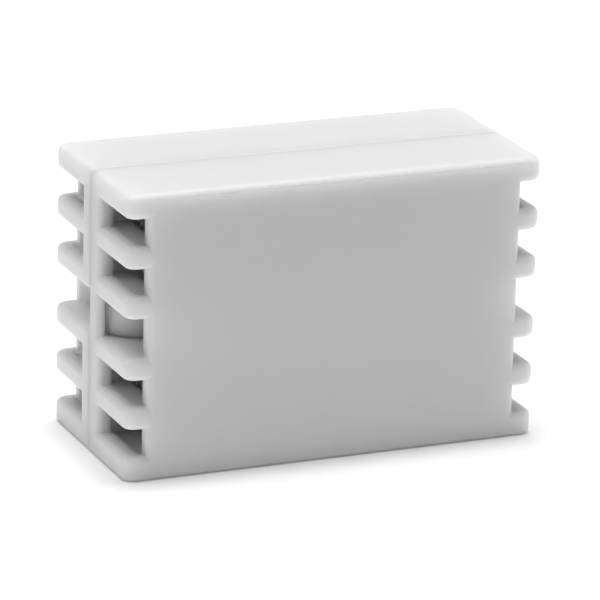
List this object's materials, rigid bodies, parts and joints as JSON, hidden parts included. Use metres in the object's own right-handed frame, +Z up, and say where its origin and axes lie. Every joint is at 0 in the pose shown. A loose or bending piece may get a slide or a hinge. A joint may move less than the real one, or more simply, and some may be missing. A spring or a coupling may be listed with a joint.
{
  "type": "humidifier tank silver ion insert",
  "caption": "Small white slotted plastic cage in two clipped halves, holding folded silver mesh that treats the water in a humidifier tank.",
  "frame": {"origin": "centre of the base, on the face it rests on", "axes": "+Z up, +X along the length, +Y from the front half to the rear half"},
  "size_m": [0.05, 0.0232, 0.033],
  "materials": {
    "white_plastic": "fine satin moulded surface",
    "silver_mesh": "knitted silver-coated thread"
  },
  "bodies": {
    "front_half": {"front_shell": "white_plastic", "lower_mesh_pad": "silver_mesh", "upper_mesh_pad": "silver_mesh"},
    "rear_half": {"rear_shell": "white_plastic"}
  },
  "joints": [
    {"name": "rear_half_pull", "type": "slide", "parent": "front_half", "child": "rear_half", "axis": [0, 1, 0], "range_m": [0, 0.022]}
  ]
}
